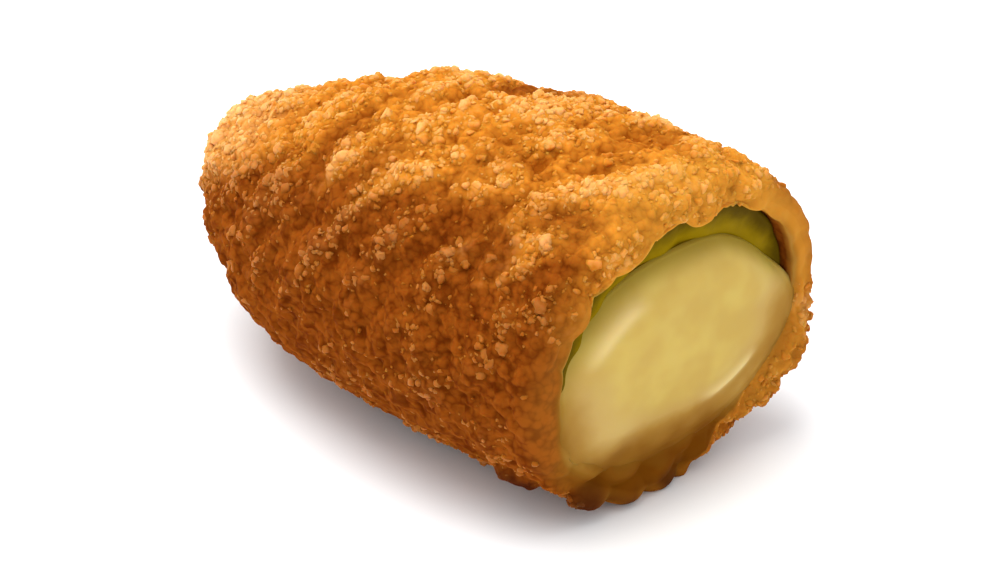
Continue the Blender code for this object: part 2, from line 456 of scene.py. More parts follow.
def cheese_section(angles, grow):
    """The outline of the cheese, drawn in above the pepper's feet by the pepper's thickness."""
    side, up = filling_section(angles)
    rise = np.arcsin(np.sin(angles))
    arch = smooth_step(FOOT_ANGLE - FOOT_TAPER / 2, FOOT_ANGLE + FOOT_TAPER / 2, rise)
    pepper = PEPPER_FOOT + (PEPPER_TOP - PEPPER_FOOT) * np.maximum(np.sin(angles), 0)
    kept = 1 - (arch * pepper - grow) / np.hypot(side, up)
    return side * kept, up * kept


def smoothed(outline, waves):
    """A closed outline with only its widest waves kept."""
    found = np.fft.fft(outline[0] + 1j * outline[1])
    found[waves + 1 : -waves] = 0
    kept = np.fft.ifft(found)
    return np.array([kept.real, kept.imag])


def pepper_share(angles):
    """How much of the pepper shows in front of the cheese: most above, and none beyond its feet."""
    turned = (np.degrees(angles) + 90) % 360 - 90
    rising = smooth_step(-28, 28, turned)
    return rising * np.maximum(np.cos(np.radians((turned - 65) * 0.62)), 0) ** 1.3


def sampled(function, points):
    """One of mathutils' noise functions at every point."""
    flat = points.reshape(-1, 3)
    return np.array([function(Vector(point)) for point in flat]).reshape(points.shape[:-1])


def smooth_noise(points, size, offset=0.0):
    """Uneven values, about -1 to 1, in patches of this size. Each offset gives another pattern."""
    return sampled(noise.noise, points / size + offset)


def domes(points, size, reach, offset=0.0):
    """Round tops with creases between them: 1 at the middle of each top."""
    near = sampled(lambda place: noise.voronoi(place)[0][0], points / size + offset)
    return 1 - np.minimum(near / reach, 1.0) ** 2


def grid_normals(grid):
    """Outward normals of a grid of rings, each closed round."""
    lengthways = np.gradient(grid, axis=0)
    sideways = np.roll(grid, -1, axis=1) - np.roll(grid, 1, axis=1)
    normals = np.cross(lengthways, sideways)
    outward = grid - grid.mean(axis=1, keepdims=True)
    normals *= np.sign((normals * outward).sum(axis=(0, 1, 2)))
    return normals / np.maximum(np.linalg.norm(normals, axis=-1, keepdims=True), 1e-12)


def closed_mesh(name, grid, attributes):
    """A mesh of a grid of rings, with the first and last ring closed to a point and faces outward."""
    rings, segments = grid.shape[:2]
    points = np.concatenate([grid.reshape(-1, 3), [grid[0].mean(0), grid[-1].mean(0)]])
    index = np.arange(rings * segments).reshape(rings, segments)
    after = np.roll(index, -1, axis=1)
    quads = np.stack([index[:-1], after[:-1], after[1:], index[1:]], axis=-1).reshape(-1, 4)
    first, last = rings * segments, rings * segments + 1
    start = np.stack([after[0], index[0], np.full(segments, first)], axis=-1)
    end = np.stack([index[-1], after[-1], np.full(segments, last)], axis=-1)
    corners = points[quads]
    volume = (np.cross(corners[:, 0], corners[:, 1]) * corners[:, 2]).sum()
    volume += (np.cross(corners[:, 0], corners[:, 2]) * corners[:, 3]).sum()
    if volume < 0:
        quads, start, end = quads[:, ::-1], start[:, ::-1], end[:, ::-1]
    mesh = bpy.data.meshes.new(name)
    mesh.from_pydata(points.tolist(), [], quads.tolist() + start.tolist() + end.tolist())
    for key, values in attributes.items():
        layer = mesh.attributes.new(key, "FLOAT", "POINT")
        flat = np.concatenate([values.reshape(-1), [values[0].mean(), values[-1].mean()]])
        layer.data.foreach_set("value", flat.astype(np.float32))
    mesh.shade_smooth()
    mesh.update()
    made = bpy.data.objects.new(name, mesh)
    bpy.context.scene.collection.objects.link(made)
    return made


def finish_piece(piece, material, slot, *nodes):
    """Gives a piece its material and its body, and hides the nodes that it stands for. Its slot is not used.
    """
    if material:
        piece.data.materials.clear()
        piece.data.materials.append(material)
    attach(piece, "root")
    if nodes:
        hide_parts(*nodes)


def fried_colour(graph, crust, tone):
    """Painted shade and light: from a dark colour in the recesses, where shade falls, over the crumbs' sides
    to a painted highlight on their tops.
    """
    return graph.ramp(tone, (0.0, crust.recess), (0.5, crust.crumb_side), (1.0, crust.crumb_top_highlight))


def lobes(points):
    """Soft lobes that hang below the cut: from -0.5 in the creases between them to 0.5 on their middles."""
    return domes(points * np.array([0.25, 1.0, 1.0]), LOBE_SIZE, 0.8, offset=11.0) - 0.5


def melt_spread(spread, angles, points):
    """How far the melt's colour has changed, from -1 in the cheese to 1: darker at the right as painted
    shade, and less on the lobes' middles than in their creases as painted light and shade.
    """
    below = 0.6 * facing(angles, 258, 46) * smooth_step(-1.2, -0.35, spread)
    below -= 0.5 * facing(angles, 222, 36) * smooth_step(0.1, 0.7, spread)
    # Painted shade: the right part of the cheese is darkened
    right = 0.44 * facing(angles, 350, 80) * smooth_step(-1.5, -0.6, spread)
    right *= smooth_step(0.2, -0.5, spread)
    left = 0.18 * facing(angles, 178, 40) * smooth_step(-0.8, -0.1, spread)
    # Painted light and shade on the lobes: paler on their middles, darker in the creases between them
    lobe_shading = 0.45 * facing(angles, 266, 62) * smooth_step(-0.6, 0.1, spread) * lobes(points)
    return np.clip(spread, -1, 1) + below + right + left - lobe_shading


def fine_grain(graph, place):
    """Grains half a millimetre wide: 1 on their tops, lower in the creases between them."""
    shift = graph.noise(place, 0.7 * MM, detail=1.0, output="Color")
    shift = graph.vector("SUBTRACT", shift, (0.5, 0.5, 0.5))
    bent = graph.vector("MULTIPLY_ADD", shift, (0.6 * MM, 0.6 * MM, 0.6 * MM), place)
    cells = graph.node("ShaderNodeTexVoronoi", None, {"Vector": bent, "Scale": 1 / (0.62 * MM)})
    return 1 - cells["Distance"] * cells["Distance"]


def melt_colour(graph, place):
    """Cheese inside the cut, tan at its edge, then amber and brown across the coating."""
    cheese = bpy.context.scene.popper_filling.cheese
    spread = graph.attribute("spread") + 0.35 * (graph.noise(place, 2.5 * MM) - 0.5)
    return graph.ramp(0.5 + 0.5 * spread, (0.03, cheese), *MELT_STOPS)


def crust_finish(graph, place):
    """Fried crumbs: painted highlights on their tops, painted shade in the orange-brown recesses, smooth
    golden batter at the cut, and browner below, partly toasting and partly painted shade.
    """
    crust = bpy.context.scene.popper_crust
    grain = fine_grain(graph, place)
    patch = graph.noise(place, 5.0 * MM)
    # Painted light and shade: the tone is higher on raised crumbs, clumps, ridges and grain tops and lower
    # in the creases between them
    tone = 0.7 * graph.attribute("rise") + 0.4 * (grain - 0.65) + 0.5 * (patch - 0.5)
    colour = fried_colour(graph, crust, tone)
    colour = graph.mix(graph.attribute("cut"), colour, crust.batter)
    colour = graph.mix(0.5 * graph.attribute("golden"), colour, GOLDEN_CRUST)
    # The pale tip is laid strongest on the grain tops, as painted light
    colour = graph.mix(0.3 * graph.attribute("pale") * grain, colour, PALE_CRUST)
    # On the toasted sides, painted shade in the grain's creases, and darker patches at random
    mottled = graph.between(0.5 * grain + graph.noise(place, 1.6 * MM), 0.55, 1.1)
    colour = graph.mix(graph.attribute("toast"), colour, graph.mix(mottled, CREASE_SHADE_TOAST, SIDE_SHADE_TOAST))
    colour = graph.mix(graph.attribute("melted"), colour, melt_colour(graph, place))
    colour = graph.mix(graph.attribute("burn"), colour, crust.burnt)
    return graph.node(
        "ShaderNodeBsdfPrincipled",
        None,
        {
            "Base Color": colour,
            "Roughness": graph.between(graph.attribute("cut"), 0.0, 1.0, 0.9, 0.75),
            "Specular IOR Level": 0.02,
            "Specular Tint": (1.0, 0.5, 0.12),
            "Subsurface Weight": 0.35,
            "Subsurface Radius": (1.0, 0.35, 0.1),
            "Subsurface Scale": 1.0 * MM,
            "Normal": graph.bump(grain * (1 - graph.attribute("cut")), 0.2 * MM, 0.7),
        },
    )


def crumb_finish(graph, place):
    """Loose crumbs: each has its own tone, paler on top as painted light and browner below as painted shade.
    """
    crust = bpy.context.scene.popper_crust
    grain = fine_grain(graph, place)
    patch = graph.noise(place, 5.0 * MM)
    # Painted light and shade: each crumb is paler towards its top, and its tone follows the crust's raised
    # crumbs, ridges and grain tops
    top_light = graph.between(graph.attribute("top"), -0.1, 0.9) * (0.15 + 0.25 * graph.attribute("tone"))
    tone = 0.7 * graph.attribute("rise") + top_light + 0.4 * (grain - 0.65) + 0.5 * (patch - 0.5)
    colour = fried_colour(graph, crust, tone)
    colour = graph.mix(graph.attribute("cut"), colour, crust.batter)
    colour = graph.mix(0.4 * graph.attribute("golden"), colour, GOLDEN_CRUMB)
    # Painted glints: pale peach on the tops of the crumbs at the tip
    colour = graph.mix(graph.attribute("pale") * (0.05 + top_light), colour, PALE_CRUMB_AND_GLINT)
    # Painted shade: on the toasted sides a crumb's underside is darker than its top
    toasted_shaded_crumb = graph.mix(top_light, CRUMB_UNDERSIDE_SHADE, SIDE_SHADE_TOAST_CRUMB)
    colour = graph.mix(0.85 * graph.attribute("toast"), colour, toasted_shaded_crumb)
    colour = graph.mix(graph.attribute("burn"), colour, crust.burnt)
    return graph.node(
        "ShaderNodeBsdfPrincipled",
        None,
        {
            "Base Color": colour,
            "Roughness": 0.5,
            "Specular IOR Level": 0.05,
            "Specular Tint": (1.0, 0.6, 0.25),
            "Subsurface Weight": 0.5,
            "Subsurface Radius": (1.0, 0.4, 0.12),
            "Subsurface Scale": 0.8 * MM,
            "Normal": graph.bump(grain, 0.15 * MM, 0.4),
        },
    )


def pepper_finish(graph, place):
    """Cooked pepper: darker skin outside, olive flesh inside, wet."""
    filling = bpy.context.scene.popper_filling
    mottled = graph.noise(place, 1.6 * MM, detail=3)
    share = graph.between(graph.attribute("depth") + 0.6 * (mottled - 0.5), 0.1, 0.8)
    return graph.node(
        "ShaderNodeBsdfPrincipled",
        None,
        {
            "Base Color": graph.mix(share, filling.skin, filling.flesh),
            "Roughness": 0.5,
            "Specular IOR Level": 0.015,
            "Specular Tint": (0.9, 0.8, 0.1),
            "Subsurface Weight": 0.1,
            "Subsurface Radius": (0.6, 0.6, 0.1),
            "Subsurface Scale": 1.0 * MM,
            "Normal": graph.bump(graph.noise(place, 0.9 * MM, detail=3), 0.15 * MM, 0.4),
        },
    )


def cheese_finish(graph, place):
    """Melted cheese: pale yellow, a little mottled, browner where it thins out over the coating."""
    filling = bpy.context.scene.popper_filling
    mottled = graph.noise(place, 4.0 * MM)
    clouds = graph.between(mottled, 0.35, 0.75) * graph.between(graph.attribute("spread"), -0.3, -0.95)
    colour = graph.mix(clouds, melt_colour(graph, place), filling.mottling)
    # Painted highlights along the folds and a painted pale sheen low on the left
    colour = graph.mix(graph.attribute("gleam"), colour, CHEESE_PAINTED_GLEAM)
    colour = graph.mix(graph.attribute("greening"), colour, CHEESE_BY_PEPPER)
    return graph.node(
        "ShaderNodeBsdfPrincipled",
        None,
        {
            "Base Color": colour,
            "Roughness": graph.between(graph.attribute("spread"), -0.6, -0.2, 0.36, 0.75),
            "Specular IOR Level": 0.03,
            "Specular Tint": (1.0, 0.8, 0.4),
            "Subsurface Weight": 0.4,
            "Subsurface Radius": (1.0, 0.6, 0.2),
            "Subsurface Scale": 1.2 * MM,
            "Normal": graph.bump(graph.noise(place, 1.8 * MM, detail=3), 0.2 * MM, 0.15),
        },
    )


def coating_grid(crust, angles):
    """The coating without relief, ring by ring, and how far inward each ring lies.

    Inward is 0 outside, EDGE_SHARE where the face of the cut begins, 1 where it ends, and 2 in the hollow.
    """
    edge = crust.cut_edge * (1 + 0.15 * facing(angles, 195, 60) + 0.9 * facing(angles, 100, 75))
    rim = 1 - edge / HALF_HEIGHT
    steps = np.linspace(0, 1, 4000)[1:]
    along = (LENGTH - crust.cut_edge) * steps**2
    travelled = np.cumsum(np.hypot(np.gradient(along), np.gradient(growth(along / LENGTH)) * HALF_HEIGHT))
    even = np.interp(np.linspace(travelled[0], travelled[-1], crust.rings), travelled, along)
    body, filling = body_section(angles), filling_section(angles, grow=0.1 * MM)
    rows, inward = [], []
    for distance in even:
        reach = distance * (LENGTH - edge) / (LENGTH - crust.cut_edge)
        size = growth(reach / LENGTH)
        rows.append(in_place(reach, body[0] * size, body[1] * size))
        inward.append(0.0)
    for step in range(1, EDGE_RINGS + 1):
        turn = math.pi / 2 * step / EDGE_RINGS
        size = rim + (1 - rim) * math.cos(turn)
        rows.append(in_place(LENGTH - edge * (1 - math.sin(turn)), body[0] * size, body[1] * size))
        inward.append(EDGE_SHARE * step / EDGE_RINGS)
    for step in range(1, FACE_RINGS + 1):
        share = step / FACE_RINGS
        side = body[0] * rim * (1 - share) + filling[0] * share
        up = body[1] * rim * (1 - share) + filling[1] * share
        rows.append(in_place(LENGTH, side, up))
        inward.append(EDGE_SHARE + (1 - EDGE_SHARE) * share)
    for step in range(1, HOLLOW_RINGS + 1):
        share = step / HOLLOW_RINGS
        rows.append(in_place(LENGTH - HOLLOW_LENGTH * share**1.6, *filling))
        inward.append(1.0 + share)
    return np.array(rows), np.array(inward)[:, None]


class CoatingSurface:
    """The coating without relief, and what its relief and its tones are made of at each point."""

    def __init__(self, crust):
        angles = np.linspace(0, 2 * math.pi, crust.segments, endpoint=False)
        self.points, self.inward = coating_grid(crust, angles)
        self.normals = grid_normals(self.points)
        self.along = self.points[..., 0]
        self.height = self.points[..., 2]
        self.depth = cut_depth(self.points)
        self.angle = np.broadcast_to(angles, self.depth.shape)

        # Where each part of the coating lies: 1 there and 0 elsewhere
        self.outside = 1 - smooth_step(0.02, 0.3, self.inward)
        self.face = smooth_step(0.0, 0.25, self.inward) * (1 - smooth_step(1.0, 1.2, self.inward))
        self.rough = facing(self.angle, 322, 52)
        self.rough_edge = self.rough * smooth_step(1.8 * MM, 0.0, self.depth)
        self.at_tip = smooth_step(-12 * MM, -21 * MM, self.along)
        self.cover = BARE_SHARE + (1 - BARE_SHARE) * smooth_step(BARE_BELOW, CRUSTED_ABOVE, self.height)

        # Uneven edges, and what has them
        self.uneven = smooth_noise(self.points, 7 * MM)
        self.rim_noise = smooth_noise(self.points, 3 * MM, 7.0)
        self.bare = spots(self.points, BARE_PATCHES, self.uneven, 1.0, 0.4)
        self.burnt = spots(self.points, BURNT_LUMPS, self.uneven, 1.1, 0.35)
        self.crusted = self.crusted_share()

        # Ridges, clumps and crumbs
        self.ridges = self.ridge_heights()
        shifts = [smooth_noise(self.points, 0.9 * MM, offset) for offset in (1.0, 2.0, 3.0)]
        self.warped = self.points + FINE_CREASES * np.stack(shifts, axis=-1)
        self.clumps = domes(self.points, CLUMP_SIZE, CLUMP_REACH)
        self.crumbs = domes(self.warped, crust.crumb_size, 0.75, offset=5.0)
        self.small_crumbs = domes(self.warped, crust.crumb_size * 0.55, 0.75, offset=9.0)

    def crusted_share(self):
        """1 where crumbs lie, and 0 on the smooth batter round the cut, which has an uneven edge."""
        lid = facing(self.angle, 90, 80)
        bare_width = (1.4 + 2.2 * facing(self.angle, 30, 45)) * MM
        shift = (1.2 * self.rim_noise + 1.6 * lid + 2.5 * self.rough) * MM
        crusted = smooth_step(0.0, 1.0, (self.depth + shift) / bare_width)
        smooth_face = 1 - 0.85 * np.maximum(lid, 0.8 * self.rough)
        crusted *= 1 - smooth_face * smooth_step(0.08, 0.4, self.inward)
        return crusted * (1 - smooth_step(0.75, 1.0, self.inward + 0.3 * self.rim_noise))

    def ridge_heights(self):
        """Ridges that run aslant, along and round the body: about -1 to 1."""
        turned = (self.angle + math.pi / 2) % (2 * math.pi) - math.pi / 2
        round_way = -HALF_WIDTH * growth((self.along + LENGTH / 2) / LENGTH + 0.05) * turned
        long_way = self.along * math.cos(RIDGE_SLANT) + round_way * math.sin(RIDGE_SLANT)
        short_way = round_way * math.cos(RIDGE_SLANT) - self.along * math.sin(RIDGE_SLANT)
        bend = 0.8 * facing(self.angle, 20, 85) * smooth_noise(self.points, 4 * MM, 40.0)
        place = [long_way / RIDGE_LENGTH, short_way / RIDGE_WIDTH + bend, np.zeros_like(bend)]
        heights = sampled(noise.noise, np.stack(place, axis=-1))
        return heights * (1 - 0.6 * smooth_step(-8 * MM, -16 * MM, self.along))

    def degrees_from_top(self):
        """Degrees round from the top, and at the pole of the tip those by which the surface leans over."""
        at_pole = smooth_step(-16.0 * MM, -23.0 * MM, self.along)
        lean = np.degrees(np.arccos(np.clip(self.normals[..., 2], -1, 1)))
        found = (1 - at_pole) * np.abs((np.degrees(self.angle) + 90) % 360 - 180)
        found += at_pole * (lean - 6)
        return found + 30 * self.uneven

    def relief(self, crust):
        """How far each point is raised: dents and clumps as in the solids, then ridges and crumbs."""
        dents = DENT_DEPTH * smooth_noise(self.points, DENT_SIZE)
        coarse = 0.32 * CLUMP_HEIGHT * (self.clumps - 0.5) + crust.ridge_relief * self.ridges
        raised = dents + self.cover * coarse
        raised *= smooth_step(0.0, 3.0 * MM, self.depth) * self.outside
        fine = crust.crumb_relief * (self.crumbs - 0.5)
        fine += 0.45 * crust.crumb_relief * (self.small_crumbs - 0.5)
        raised += (0.45 + 0.55 * self.cover) * self.crusted * fine
        uneven_face = (0.1 + 0.25 * facing(self.angle, 20, 80) * self.face) * MM
        in_sight = 1 - smooth_step(0.9, 1.1, self.inward)
        raised += uneven_face * smooth_noise(self.points, 1.3 * MM) * in_sight
        raised += (LUMP_HEIGHT * self.burnt - HOLLOW_DEPTH * self.bare) * self.outside
        return raised

    def shaped(self, crust):
        """The points with their relief, and with the form of the lip."""
        angle, inward = self.angle, self.inward
        shaped = self.points + self.normals * self.relief(crust)[..., None]

        # The lip is ragged above
        above = facing(angle, 100, 105)
        near_cut = smooth_step(3.0 * MM, 0.0, self.depth)
        teeth = domes(self.points, TOOTH_SIZE, 0.85, offset=3.0) - 0.5
        outwards = crust.lip_relief * near_cut * teeth * above
        shaped[..., 0] += outwards * (1 - smooth_step(0.6, 1.05, inward))
        inner_edge = smooth_step(0.3, 0.95, inward) * (1 - smooth_step(1.05, 1.4, inward))
        towards = np.stack([np.zeros_like(angle), -np.cos(angle), -np.sin(angle)], axis=-1)
        shaped += towards * (inner_edge * above * (0.25 * MM + TOOTH_DEPTH * teeth))[..., None]

        # It hangs in soft lobes below
        hanging = near_cut * facing(angle, 262, 66) * (1 - smooth_step(0.5, 0.95, inward))
        flattened = self.normals * np.array([1.0, 1.0, 0.7])
        shaped += flattened * (LOBE_HEIGHT * hanging * lobes(self.points))[..., None]

        # It swells into crags at the lower right
        crags = domes(self.warped, CRAG_SIZE, 0.8, offset=15.0) - 0.5
        crags += 1.2 * smooth_noise(self.points, 2.1 * MM, 31.0)
        swell = CRAG_HEIGHT * crags + SWELL_HEIGHT * facing(angle, 330, 24)
        swell *= self.rough_edge * (1 - smooth_step(0.5, 0.9, inward))
        shaped += self.normals * swell[..., None]
        shaped[..., 2] = np.maximum(shaped[..., 2], 0.0)
        return shaped

    def tones(self):
        """The attributes that the finish and the loose crumbs read."""
        angle, at_tip = self.angle, self.at_tip
        from_top = self.degrees_from_top()

        # Painted light and shade: paler on the raised crumbs, clumps and ridges and darker between them;
        # browner down the sides, partly toasting and partly painted shade, and in the bare hollows
        ridge_light_and_shade = (0.8 - 0.35 * smooth_step(35, 10, from_top)) * self.ridges * self.cover
        rise = 0.06 + 0.4 * self.crumbs + 0.2 * self.small_crumbs + 0.25 * self.clumps
        rise += ridge_light_and_shade + 0.2 * at_tip
        # Browner as the surface turns down from the top: partly real toasting and partly painted shade down
        # the sides
        ridge_shift = 32 * self.ridges * smooth_step(0, 35, from_top)
        toast = 0.95 * smooth_step(17 + 31 * at_tip, 56 + 22 * at_tip, from_top - ridge_shift)
        toast = np.maximum(toast, 0.9 * self.bare)
        toast *= 1 - 0.9 * self.face * (1 - 0.8 * facing(angle, 190, 60) - 0.15 * self.rough)
        # Painted shadow: the crumbs along the lower right edge of the cut are darkened for the shadow there
        rim = 0.7 * self.rough_edge * facing(angle, 314, 36) * (1 - 0.7 * self.face)
        toast = np.maximum(toast, rim)

        # Burnt by the floor, golden above the cut, melted across its face
        burn = smooth_step(-0.25, 0.35, smooth_noise(self.points, 2.0 * MM, 20.0))
        burn = np.maximum(burn * smooth_step(2.8 * MM, 0.5 * MM, self.height), self.burnt)
        golden = smooth_step(7 * MM, 1 * MM, self.depth + 1.5 * MM * self.rim_noise)
        golden = np.maximum(facing(angle, 78, 62) * golden, facing(angle, 330, 40) * self.face)
        bottom = facing(angle, 250, 62)
        across = np.clip((1 - self.inward) / 0.85, 0, 1) * np.ones_like(self.depth)
        melted = self.face * (1 - facing(angle, 90, 90))
        melted *= smooth_step(0.65 - 0.4 * self.rough + bottom, bottom, across)

        # Loose crumbs: many on the ridges, the tip and the top, few on the sides, none on the melt
        low = smooth_step(5.0 * MM, 1.8 * MM, self.height)
        clustered = 0.35 + 2.2 * self.ridges + 0.3 * (self.clumps - 0.5) + 0.5 * at_tip
        clustered += 0.5 * golden + 0.25 * smooth_step(60, 20, from_top)
        clustered = np.clip(clustered + 0.3 * self.rough_edge + 0.4 * low, 0, 1)
        scattered = 1 - 0.7 * smooth_step(50 + 15 * at_tip, 90, from_top)
        scattered = scattered * (1 - 0.9 * self.bare) + 0.5 * low + 0.5 * self.rough_edge
        scattered *= self.crusted * smooth_step(0.2 * MM, 1.0 * MM, self.height)
        scattered *= smooth_step(0.5, 0.1, melted)
        return {
            "rise": rise,
            "cut": (1 - self.crusted) * np.ones_like(self.depth),
            "toast": toast,
            "burn": 0.88 * burn,
            "melted": melted,
            "spread": melt_spread(across, angle, self.points),
            "golden": golden,
            "pale": at_tip * smooth_step(85, 35, from_top),
            "cover": scattered * (1 - 0.5 * golden) * (0.25 + 0.75 * clustered),
            "clusters": scattered * clustered,
        }


class BuildCoating(bpy.types.Operator):
    """Builds the breaded coating, with its clumps, its ragged lip and the smooth batter round the cut"""

    bl_idname = "popper.build_coating"
    bl_label = "Coating"

    def execute(self, context):
        crust = context.scene.popper_crust
        surface = CoatingSurface(crust)
        coating = closed_mesh("coating_crust", surface.shaped(crust), surface.tones())
        finish_piece(coating, new_finish("golden_crust", crust_finish), "golden_crust", "coating")
        return {"FINISHED"}


def crumb_tree(material):
    """A tree that scatters uneven crumbs over a surface, more where an attribute is high."""
    tree = bpy.data.node_groups.new("scattered_crumbs", "GeometryNodeTree")
    interface = tree.interface
    interface.new_socket("Geometry", in_out="INPUT", socket_type="NodeSocketGeometry")
    interface.new_socket("Cover", in_out="INPUT", socket_type="NodeSocketString")
    for name in ("Spacing", "Smallest", "Largest", "Sunk"):
        interface.new_socket(name, in_out="INPUT", socket_type="NodeSocketFloat")
    for name in ("Subdivisions", "Seed"):
        interface.new_socket(name, in_out="INPUT", socket_type="NodeSocketInt")
    interface.new_socket("Geometry", in_out="OUTPUT", socket_type="NodeSocketGeometry")
    graph = Graph(tree)
    given = graph.node("NodeGroupInput")
    seed = given["Seed"]

    cover = graph.node("GeometryNodeInputNamedAttribute", {"data_type": "FLOAT"}, {"Name": given["Cover"]})
    sown = graph.node(
        "GeometryNodeDistributePointsOnFaces",
        {"distribute_method": "POISSON"},
        {
            "Mesh": given["Geometry"],
            "Distance Min": given["Spacing"],
            "Density Max": MOST_CRUMBS,
            "Density Factor": cover["Attribute"],
            "Seed": seed,
        },
    )
    draw = graph.node("FunctionNodeRandomValue", {"data_type": "FLOAT"}, {"Seed": seed})[1]
    tone = graph.node("FunctionNodeRandomValue", {"data_type": "FLOAT"}, {"Seed": seed + 1})[1]
    stretch = graph.node(
        "FunctionNodeRandomValue",
        {"data_type": "FLOAT_VECTOR"},
        {0: LEAST_STRETCH, 1: MOST_STRETCH, "Seed": seed + 2},
    )[0]
    turn = graph.node(
        "FunctionNodeRandomValue",
        {"data_type": "FLOAT_VECTOR"},
        {0: LEAST_TURN, 1: MOST_TURN, "Seed": seed + 3},
    )[0]
    radius = given["Smallest"] + (given["Largest"] - given["Smallest"]) * draw**1.7
    points = graph.node(
        "GeometryNodeStoreNamedAttribute",
        {"data_type": "FLOAT", "domain": "POINT"},
        {"Geometry": sown["Points"], "Name": "tone", "Value": tone},
    )[0]
    ball = graph.node("GeometryNodeMeshIcoSphere", None, {"Subdivisions": given["Subdivisions"]})
    place = graph.node("GeometryNodeInputPosition")[0]
    upward = graph.node("ShaderNodeSeparateXYZ", None, {0: place})["Z"]
    ball = graph.node(
        "GeometryNodeStoreNamedAttribute",
        {"data_type": "FLOAT", "domain": "POINT"},
        {"Geometry": ball["Mesh"], "Name": "top", "Value": upward},
    )[0]
    rotation = graph.node(
        "FunctionNodeRotateRotation", {"rotation_space": "LOCAL"}, {0: sown["Rotation"], 1: turn}
    )[0]
    scale = graph.scaled(stretch, radius)
    sunk = graph.scaled(sown["Normal"], 0 - radius * given["Sunk"])
    points = graph.node("GeometryNodeSetPosition", None, {"Geometry": points, "Offset": sunk})[0]
    scattered = graph.node(
        "GeometryNodeInstanceOnPoints",
        None,
        {"Points": points, "Instance": ball, "Rotation": rotation, "Scale": scale},
    )[0]
    solid = graph.node("GeometryNodeRealizeInstances", None, {"Geometry": scattered})[0]
    bumps = {"Vector": place, "Scale": 0.9 / given["Largest"]}
    wobble = graph.node("ShaderNodeTexNoise", None, bumps)["Color"]
    wobble = graph.scaled(graph.vector("SUBTRACT", wobble, (0.5, 0.5, 0.5)), given["Largest"] * 1.5)
    solid = graph.node("GeometryNodeSetPosition", None, {"Geometry": solid, "Offset": wobble})[0]
    solid = graph.node("GeometryNodeSetShadeSmooth", None, {"Geometry": solid, "Shade Smooth": True})[0]
    solid = graph.node("GeometryNodeSetMaterial", None, {"Geometry": solid, "Material": material})[0]
    graph.node("NodeGroupOutput", None, {"Geometry": solid})
    return tree


def plain_result(name, source, tree, values):
    """An object with what a node tree makes of a source mesh, as a plain mesh."""
    carrier = bpy.data.objects.new(name, source)
    bpy.context.scene.collection.objects.link(carrier)
    modifier = carrier.modifiers.new(name, "NODES")
    modifier.node_group = tree
    sockets = [item for item in tree.interface.items_tree if item.in_out == "INPUT"]
    for socket, value in zip(sockets[1:], values):
        modifier[socket.identifier] = value
    evaluated = carrier.evaluated_get(bpy.context.evaluated_depsgraph_get())
    mesh = bpy.data.meshes.new_from_object(evaluated)
    carrier.modifiers.remove(modifier)
    bpy.data.objects.remove(carrier)
    mesh.name = name
    made = bpy.data.objects.new(name, mesh)
    bpy.context.scene.collection.objects.link(made)
    return made


class ScatterCrumbs(bpy.types.Operator):
    """Scatters the loose crumbs over the coating, in three sizes"""

    bl_idname = "popper.scatter_crumbs"
    bl_label = "Crumbs"

    def execute(self, context):
        surface = bpy.data.objects["coating_crust"].data
        tree = crumb_tree(new_finish("fried_crumbs", crumb_finish))
        for name, *values in CRUMB_KINDS:
            crumbs = plain_result(name, surface, tree, values)
            if not crumbs.data.polygons:
                raise RuntimeError(f"{name} came out empty")
            finish_piece(crumbs, None, "golden_crust")
        return {"FINISHED"}


def build_pepper(filling):
    """The pepper's mesh: round its section from one foot to the other, out along it and back inside."""
    foot = math.degrees(FOOT_ANGLE)
    angles = np.radians(np.linspace(foot, 180 - foot, 200))
    outer, inner = filling_section(angles), cheese_section(angles, grow=-0.05 * MM)
    end = LENGTH - filling.pepper_recess
    lengths = COATING_TIP + (end - PEPPER_BEVEL - COATING_TIP) * np.linspace(0.02, 1, 60)
    bevel_turns = [math.pi / 2 * step / BEVEL_STEPS for step in range(1, BEVEL_STEPS + 1)]
    outline = [(along, 0.0) for along in lengths]
    for turn in bevel_turns:
        outline.append((end - PEPPER_BEVEL * (1 - math.sin(turn)), 0.12 * (1 - math.cos(turn))))
    outline += [(end, share) for share in np.linspace(0.12, 0.9, 15)[1:]]
    for turn in bevel_turns:
        outline.append((end - PEPPER_BEVEL * (1 - math.cos(turn)), 0.9 + 0.1 * math.sin(turn)))
    outline += [(along, 1.0) for along in lengths[::-1]]

    columns, depth = [], []
    for along, share in outline:
        size = growth((along - COATING_TIP) / (LENGTH - COATING_TIP))
        side = (outer[0] * (1 - share) + inner[0] * share) * size
        up = (outer[1] * (1 - share) + inner[1] * share) * size
        columns.append(in_place(along, side, up))
        depth.append(np.full_like(side, share))
    grid = np.swapaxes(np.array(columns), 0, 1)
    depth = np.swapaxes(np.array(depth), 0, 1)

    # The face is uneven, and stands back less at the left
    on_face = smooth_step(1.5 * MM, 0.4 * MM, cut_depth(grid) - filling.pepper_recess)
    left = facing(angles, 190, 75)[:, None]
    face_relief = 0.35 * smooth_noise(grid, 2.2 * MM) - 0.5 * depth * (1 - left) + 0.4 * left
    grid[..., 0] += face_relief * MM * on_face
    return closed_mesh("jalapeno_arch", grid, {"depth": depth})


class BuildPepper(bpy.types.Operator):
    """Builds the pepper: an arch of cooked flesh between the coating and the cheese"""

    bl_idname = "popper.build_pepper"
    bl_label = "Pepper"

    def execute(self, context):
        pepper = build_pepper(context.scene.popper_filling)
        finish_piece(pepper, new_finish("jalapeno_flesh", pepper_finish), "jalapeno_flesh", "jalapeno")
        return {"FINISHED"}


